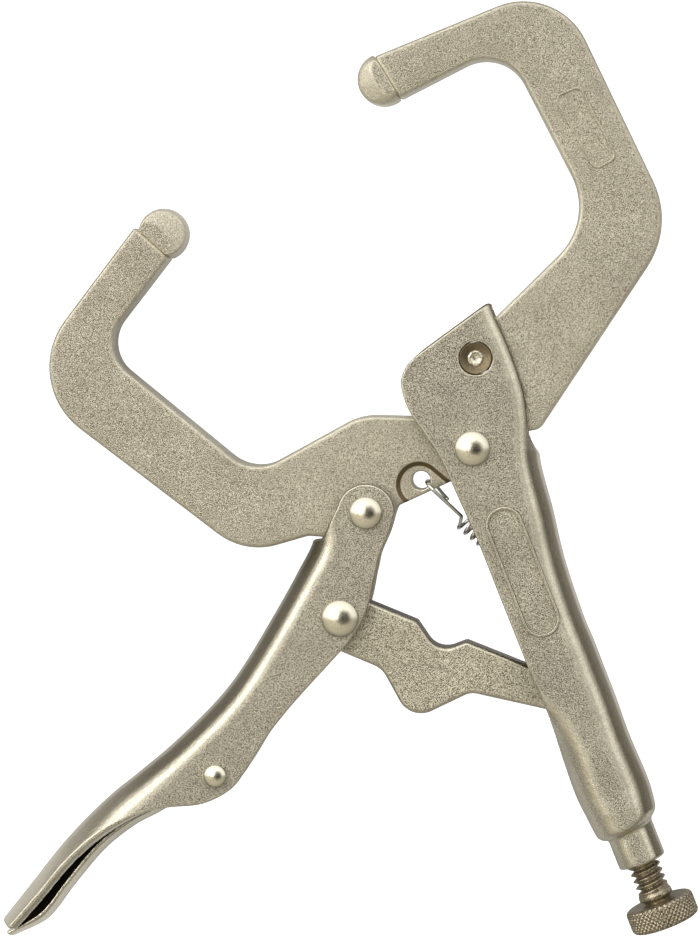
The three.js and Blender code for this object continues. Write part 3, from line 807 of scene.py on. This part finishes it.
def node(tree, kind, **settings):
    made = tree.nodes.new(kind)
    for key, value in settings.items():
        if key in made.inputs:
            made.inputs[key].default_value = value
        else:
            setattr(made, key, value)
    return made


def ramp(tree, source, stops):
    """A grey ramp of stops (position, brightness)."""
    made = tree.nodes.new("ShaderNodeValToRGB")
    made.color_ramp.elements[0].position = stops[0][0]
    made.color_ramp.elements[1].position = stops[-1][0]
    for position, _ in stops[1:-1]:
        made.color_ramp.elements.new(position)
    for element, (_, grey) in zip(made.color_ramp.elements, stops):
        element.color = (grey, grey, grey, 1)
    tree.links.new(source, made.inputs["Fac"])
    return made.outputs["Color"]


def maths(tree, operation, *values):
    made = tree.nodes.new("ShaderNodeMath")
    made.operation = operation
    for socket, value in zip(made.inputs, values):
        if isinstance(value, (int, float)):
            socket.default_value = value
        else:
            tree.links.new(value, socket)
    return made.outputs[0]


def vector_maths(tree, operation, first, second=None):
    made = tree.nodes.new("ShaderNodeVectorMath")
    made.operation = operation
    for socket, value in zip(made.inputs, (first, second)):
        if isinstance(value, bpy.types.NodeSocket):
            tree.links.new(value, socket)
        elif value is not None:
            socket.default_value = value
    return made.outputs["Value" if operation in ("DOT_PRODUCT", "LENGTH", "DISTANCE") else "Vector"]


def mix_colour(tree, share, first, second):
    made = node(tree, "ShaderNodeMix", data_type="RGBA")
    sockets = [k for k in made.inputs if k.type == "RGBA"]
    for socket, value in zip(sockets, (first, second)):
        if isinstance(value, (tuple, list)):
            socket.default_value = (*value, 1)
        else:
            tree.links.new(value, socket)
    tree.links.new(share, made.inputs[0])
    return [k for k in made.outputs if k.type == "RGBA"][0]


def noise(tree, place, size, detail=2.0, rough=0.5):
    """Noise whose lumps are about size millimetres across."""
    made = node(tree, "ShaderNodeTexNoise", Scale=1 / (size * MM), Detail=detail, Roughness=rough)
    tree.links.new(place, made.inputs["Vector"])
    return made.outputs["Fac"]


# Where the painted bend shade fades toward the tail of the lower handle
TAIL_FADE_START = -72
TAIL_FADE = 20


def metal(name, light, dark, rough, grain, grain_size=0.30, everywhere=0.0, smooth_rough=0.20,
          side=None, bend_shade_colour=None):
    """Plated steel: blasted grain on the flats, smoother where the surface turns over, and soft stains.

    side paints shade onto the walls that stand upright, a painted dark reflection along the edges.
    bend_shade_colour paints a dark band of shade on the middle of each bend that faces +Y, down to the tail of
    the lower handle."""
    material = bpy.data.materials.new(name)
    material.use_nodes = True
    tree = material.node_tree
    shader = tree.nodes["Principled BSDF"]
    shader.inputs["Metallic"].default_value = 1.0
    place = tree.nodes.new("ShaderNodeTexCoord").outputs["Object"]
    normal = node(tree, "ShaderNodeSeparateXYZ")
    tree.links.new(tree.nodes.new("ShaderNodeNewGeometry").outputs["Normal"], normal.inputs[0])
    level = maths(tree, "ABSOLUTE", normal.outputs["Z"])
    flat = ramp(tree, level, ((0.90, everywhere), (0.99, 1.0)))
    stain = ramp(tree, noise(tree, place, 7, 3), ((0.35, 0.0), (0.7, 0.4)))
    speck = noise(tree, place, grain_size, 2.5, 0.6)
    pits = ramp(tree, speck, ((0.40, 1.0), (0.53, 0.0)))
    shade = maths(tree, "MULTIPLY", flat, pits)
    tone = mix_colour(tree, stain, light, [0.5 * (a + b) for a, b in zip(light, dark)])
    colour = mix_colour(tree, shade, tone, dark)
    # Painted shade: upright walls get a dark colour standing in for a dark reflection along the edges
    if side:
        colour = mix_colour(tree, ramp(tree, level, ((0.25, 1.0), (0.6, 0.0))), colour, side)
    # Painted shade: a dark band on the +Y-facing bends, standing in for a dark reflection
    if bend_shade_colour:
        painted_bend_mask = ramp(tree, level, ((0.30, 0.0), (0.46, 0.8), (0.74, 0.8), (0.85, 0.0)))
        spread = node(tree, "ShaderNodeSeparateXYZ")
        tree.links.new(place, spread.inputs[0])
        from_tail = maths(tree, "SUBTRACT", spread.outputs["X"], TAIL_FADE_START * MM)
        from_tail = maths(tree, "DIVIDE", from_tail, TAIL_FADE * MM)
        body = ramp(tree, from_tail, ((0.0, 0.15), (1.0, 1.0)))
        facing = maths(tree, "MULTIPLY_ADD", normal.outputs["Y"], 0.5, 0.5)
        facing = ramp(tree, facing, ((0.46, 0.0), (0.54, 1.0)))
        painted_bend_mask = maths(tree, "MULTIPLY", maths(tree, "MULTIPLY", painted_bend_mask, body), facing)
        colour = mix_colour(tree, painted_bend_mask, colour, bend_shade_colour)
    tree.links.new(colour, shader.inputs["Base Color"])
    worn = maths(tree, "MULTIPLY_ADD", noise(tree, place, 2.2, 3), 0.14, smooth_rough - 0.07)
    worn = maths(tree, "MULTIPLY_ADD", flat, rough - smooth_rough, worn)
    tree.links.new(worn, shader.inputs["Roughness"])
    lumps = maths(tree, "MULTIPLY", speck, flat)
    height = maths(tree, "MULTIPLY_ADD", noise(tree, place, 0.9, 2), 0.3, lumps)
    bump = node(tree, "ShaderNodeBump", Strength=1.0, Distance=grain * MM)
    tree.links.new(height, bump.inputs["Height"])
    tree.links.new(bump.outputs["Normal"], shader.inputs["Normal"])
    return material


def paint_recess_shade(material, dark):
    """Paints shade onto the sloped wall of the recess about the spring hole, by the distance from the wall's
    line.
    """
    tree = material.node_tree
    shader = tree.nodes["Principled BSDF"]
    plated = shader.inputs["Base Color"].links[0].from_socket
    place = tree.nodes.new("ShaderNodeTexCoord").outputs["Object"]
    start = Vector((RECESS_CENTRE[0], RECESS_CENTRE[1], 0)) * MM
    along_coil = Vector((*COIL_DIR, 0))
    offset = vector_maths(tree, "SUBTRACT", place, start)
    level = vector_maths(tree, "MULTIPLY", offset, (1, 1, 0))
    run = node(tree, "ShaderNodeClamp", Max=RECESS_RUN * MM)
    tree.links.new(vector_maths(tree, "DOT_PRODUCT", level, along_coil), run.inputs["Value"])
    step = node(tree, "ShaderNodeVectorMath", operation="SCALE")
    step.inputs[0].default_value = along_coil
    tree.links.new(run.outputs[0], step.inputs["Scale"])
    away = vector_maths(tree, "LENGTH", vector_maths(tree, "SUBTRACT", level, step.outputs[0]))
    from_wall = maths(tree, "ABSOLUTE", maths(tree, "SUBTRACT", away, (RECESS_R - 0.38) * MM))
    wall = ramp(tree, maths(tree, "DIVIDE", from_wall, MM), ((0.30, 1.0), (0.44, 0.0)))
    tree.links.new(mix_colour(tree, wall, plated, dark), shader.inputs["Base Color"])


PALE = (0.80, 0.76, 0.65)
BROWN = (0.17, 0.15, 0.11)
# The sheet's bend_shade_colour is painted shade on its bends
SHEET_NICKEL = metal("sheet_nickel", PALE, (0.13, 0.11, 0.08), 0.38, 0.24, 0.155, everywhere=0.2,
                     bend_shade_colour=(0.15, 0.125, 0.085))
FORGED_NICKEL = metal("forged_nickel", PALE, (0.24, 0.21, 0.16), 0.38, 0.22, 0.15, everywhere=0.4,
                      smooth_rough=0.28)
# Painted shade on the recess wall about the spring hole
paint_recess_shade(FORGED_NICKEL, (0.19, 0.15, 0.09))
# The link's side colour is painted shade along its upright edges
LINK_NICKEL = metal("link_nickel", (0.73, 0.69, 0.58), BROWN, 0.38, 0.20, 0.18, everywhere=0.3,
                    side=(0.16, 0.13, 0.10))
LEVER_NICKEL = metal("lever_nickel", PALE, BROWN, 0.36, 0.06, everywhere=0.2)
RIVET_BRIGHT = metal("rivet_bright", (0.74, 0.71, 0.61), (0.56, 0.51, 0.41), 0.24, 0.01, smooth_rough=0.24)
DARK_PIN = metal("dark_pin", (0.21, 0.17, 0.11), (0.12, 0.10, 0.07), 0.42, 0.03, everywhere=0.3,
                 smooth_rough=0.4)
# Painted shade: near-black for the shadowed inside of the lower handle's tail
PAINTED_TAIL_SHADE = metal("painted_tail_shade", (0.05, 0.04, 0.03), (0.03, 0.025, 0.02), 0.6, 0.03, smooth_rough=0.5)
SCREW_STEEL = metal("screw_steel", (0.46, 0.41, 0.32), (0.20, 0.17, 0.12), 0.34, 0.03, everywhere=1.0)
SPRING_WIRE = metal("spring_wire", (0.72, 0.73, 0.72), (0.45, 0.45, 0.45), 0.25, 0.01)


# ---- The pieces ----

SHEET_REACH = 20.5 * SHEET_CELL
LEVER_REACH = 14.5 * LEVER_CELL

# Raised lines where the tool is stamped
OVAL_CENTRE = (8.2, -20.0)
OVAL_HALF_LENGTH = 10.9
OVAL_HALF_WIDTH = 2.8
OVAL_LINE = rounded([(*along(OVAL_CENTRE, SCREW_DIR, s * OVAL_HALF_LENGTH, o * OVAL_HALF_WIDTH), 2.75)
                     for s, o in ((-1, -1), (1, -1), (1, 1), (-1, 1))])
FRAME_LINE = rounded([(17.2, 58.5, 1.2), (13.1, 56.8, 1.2), (19.7, 45.0, 1.2), (23.2, 47.0, 1.2)])

fixed_handle = [skin(fixed_handle_field, (-13.5, -72, -SHEET_REACH), (33.5, 26.5, SHEET_REACH), SHEET_CELL),
                bead(OVAL_LINE, WALL_OUT, 0.32)]
mesh_piece("fixed_handle_shell", fixed_handle, SHEET_NICKEL, "fixed_handle", "sheet_nickel", "fixed_handle")

lower_handle = skin(lower_handle_field, (-80, -81, -SHEET_REACH), (-10.5, -4.5, SHEET_REACH), SHEET_CELL)
# The tail's inside gets painted shade
mesh_piece("lower_handle_shell", [lower_handle], SHEET_NICKEL, "lower_handle", "sheet_nickel", "lower_handle",
           accent=(PAINTED_TAIL_SHADE, tail_inside))

release_lever = skin(release_lever_field, (-78, -82.5, -LEVER_REACH), (-34, -43, LEVER_REACH), LEVER_CELL)
mesh_piece("release_lever_strip", [release_lever], LEVER_NICKEL, "release_lever", "lever_nickel",
           "release_lever")

fixed_tip_field = tip_field(FIXED_TIP, FIXED_GROOVE, 2.0, 30, 3.9, 2.4)
fixed_jaw = [skin(fixed_jaw_field, (-16.5, 1.5, -4.2), (34.5, 77, 4.2), JAW_CELL),
             skin(fixed_tip_field, (-20, 54.5, -4.3), (-9.5, 65.5, 4.3), TIP_CELL),
             bead(FRAME_LINE, JAW_HALF, 0.22)]
mesh_piece("fixed_jaw_forging", fixed_jaw, FORGED_NICKEL, "fixed_handle", "forged_nickel", "fixed_jaw")

moving_tip_field = tip_field(MOVING_TIP, MOVING_GROOVE, 2.5, 20, 3.9, 0.4, 0.14)
moving_jaw = [skin(moving_jaw_field, (-75, -19, -4.2), (7, 37.5, 4.2), JAW_CELL),
              skin(moving_tip_field, (-56.5, 29.5, -4.3), (-45.5, 40, 4.3), TIP_CELL)]
mesh_piece("moving_jaw_forging", moving_jaw, FORGED_NICKEL, "moving_jaw", "forged_nickel", "moving_jaw")

toggle_link = skin(toggle_link_field, (-29, -45.5, -3.3), (21, -21.5, 3.3), LINK_CELL)
mesh_piece("toggle_link_plate", [toggle_link], LINK_NICKEL, "toggle_link", "link_nickel", "toggle_link")

RIVETS = (  # name, centre, shank and head radius, body
    ("main_pivot", MAIN_PIVOT, 2.2, 2.8, "fixed_handle"),
    ("handle_pivot", HANDLE_PIVOT, 2.0, 2.6, "moving_jaw"),
    ("toggle", TOGGLE_PIVOT, 2.2, 2.95, "lower_handle"),
    ("lever", LEVER_PIVOT, 1.25, 1.8, "lower_handle"))
for name, centre, shank, head, body in RIVETS:
    mesh_piece(name + "_domed_rivet", [rivet(centre, shank, head)], RIVET_BRIGHT, body, "rivet_bright",
               name + "_rivet")

mesh_piece("jaw_pin_socketed", [jaw_pin()], DARK_PIN, "fixed_handle", "dark_pin", "fixed_jaw_pin",
           accent=(LEVER_NICKEL, lambda x, y, z: circle(JAW_PIN, x, y) < RING_R))
mesh_piece("screw_and_knob", [screw_shank(), knob()], SCREW_STEEL, "adjusting_screw", "screw_steel",
           "adjusting_screw")

spring = mesh_piece("return_spring_wire", [tube(spring_path(), WIRE_R)], SPRING_WIRE, None, "spring_wire",
                    "return_spring")
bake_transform(spring)

# ---- Camera, floor and lights ----

CAMERA_AT = Vector((14.46, 19.63, 550.6)) * MM
CAMERA_TO = Vector((-20.20, -3.62, MID)) * MM


def add_camera():
    """Looks down on the tool, with +Y up in the picture."""
    camera = bpy.data.objects.new("camera", bpy.data.cameras.new("camera"))
    bpy.context.scene.collection.objects.link(camera)
    back = (CAMERA_AT - CAMERA_TO).normalized()
    right = Vector((0, 1, 0)).cross(back).normalized()
    up = back.cross(right)
    camera.matrix_world = Matrix((right, up, back)).transposed().to_4x4()
    camera.location = CAMERA_AT
    camera.data.lens = 127.5
    camera.data.clip_start = 0.01
    bpy.context.scene.camera = camera


FLOOR_GREY = 0.35
FLOOR_MIDDLE = (-0.035, -0.020, 0)


def pale_floor():
    """White where the camera sees it; to the metal it glows near the tool, more at two opposite corners."""
    pale = bpy.data.materials.new("pale_floor")
    pale.use_nodes = True
    tree = pale.node_tree
    shader = tree.nodes["Principled BSDF"]
    shader.inputs["Base Color"].default_value = (FLOOR_GREY, FLOOR_GREY, FLOOR_GREY, 1)
    shader.inputs["Roughness"].default_value = 0.9
    shader.inputs["Specular IOR Level"].default_value = 0.1
    shader.inputs["Emission Color"].default_value = (1, 1, 1, 1)
    seen = tree.nodes.new("ShaderNodeLightPath").outputs["Is Camera Ray"]
    place = tree.nodes.new("ShaderNodeTexCoord").outputs["Object"]
    near = ramp(tree, vector_maths(tree, "DISTANCE", place, FLOOR_MIDDLE), ((0.09, 1.0), (0.13, 0.15)))
    diagonal = maths(tree, "ADD", vector_maths(tree, "DOT_PRODUCT", place, (1, 1, 0)), 0.2)
    sided = ramp(tree, diagonal, ((0.05, 0.36), (0.09, 0.20), (0.155, 0.11), (0.195, 0.36)))
    glow = maths(tree, "MULTIPLY", near, sided)
    tree.links.new(maths(tree, "MULTIPLY_ADD", seen, 0.9, glow), shader.inputs["Emission Strength"])
    return pale


def add_floor():
    bpy.ops.mesh.primitive_plane_add(size=4)
    floor = bpy.context.object
    floor.name = "floor"
    floor.data.materials.append(pale_floor())


WHITE = (1.0, 0.975, 0.90)
TAN = (1.0, 0.90, 0.64)
BOX_AT = Vector((-0.32, 0.10, 0.62))
BOX_TO = Vector((-0.05, 0.02, 0))


def add_soft_box():
    lamp = bpy.data.lights.new("left_box", "AREA")
    lamp.shape = "RECTANGLE"
    lamp.size = 0.35
    lamp.size_y = 0.50
    lamp.energy = 0.9
    lamp.color = WHITE
    holder = bpy.data.objects.new("left_box", lamp)
    holder.location = BOX_AT
    holder.rotation_euler = (BOX_TO - BOX_AT).to_track_quat("-Z", "Y").to_euler()
    bpy.context.scene.collection.objects.link(holder)


DARK_SPOT_AIM = (0.24, 0.02, 0.970)
SKY_STRENGTH = 2.0


def add_sky():
    """A bright ring of sky about a dark spot overhead, over a dark horizon; warmer and dimmer toward -Y."""
    world = bpy.data.worlds.new("studio")
    bpy.context.scene.world = world
    world.use_nodes = True
    sky = world.node_tree
    toward = sky.nodes.new("ShaderNodeTexCoord").outputs["Generated"]
    aim = node(sky, "ShaderNodeSeparateXYZ")
    sky.links.new(toward, aim.inputs[0])
    ring = ramp(sky, aim.outputs["Z"], ((0.0, 0.05), (0.10, 0.05), (0.35, 0.65), (0.80, 0.95)))
    to_spot = vector_maths(sky, "DOT_PRODUCT", toward, DARK_SPOT_AIM)
    ring = maths(sky, "MULTIPLY", ring, ramp(sky, to_spot, ((0.84, 1.0), (0.945, 0.06))))
    across = maths(sky, "MULTIPLY_ADD", aim.outputs["X"], -0.22, 1.0)
    foot = ramp(sky, maths(sky, "MULTIPLY_ADD", aim.outputs["Y"], 0.5, 0.5), ((0.45, 0.38), (0.53, 1.0)))
    shader = sky.nodes["Background"]
    sky.links.new(mix_colour(sky, foot, TAN, WHITE), shader.inputs[0])
    strength = maths(sky, "MULTIPLY", maths(sky, "MULTIPLY", ring, across), foot)
    sky.links.new(maths(sky, "MULTIPLY", strength, SKY_STRENGTH), shader.inputs[1])


add_camera()
add_floor()
add_soft_box()
add_sky()
bpy.context.scene.view_settings.view_transform = "Standard"
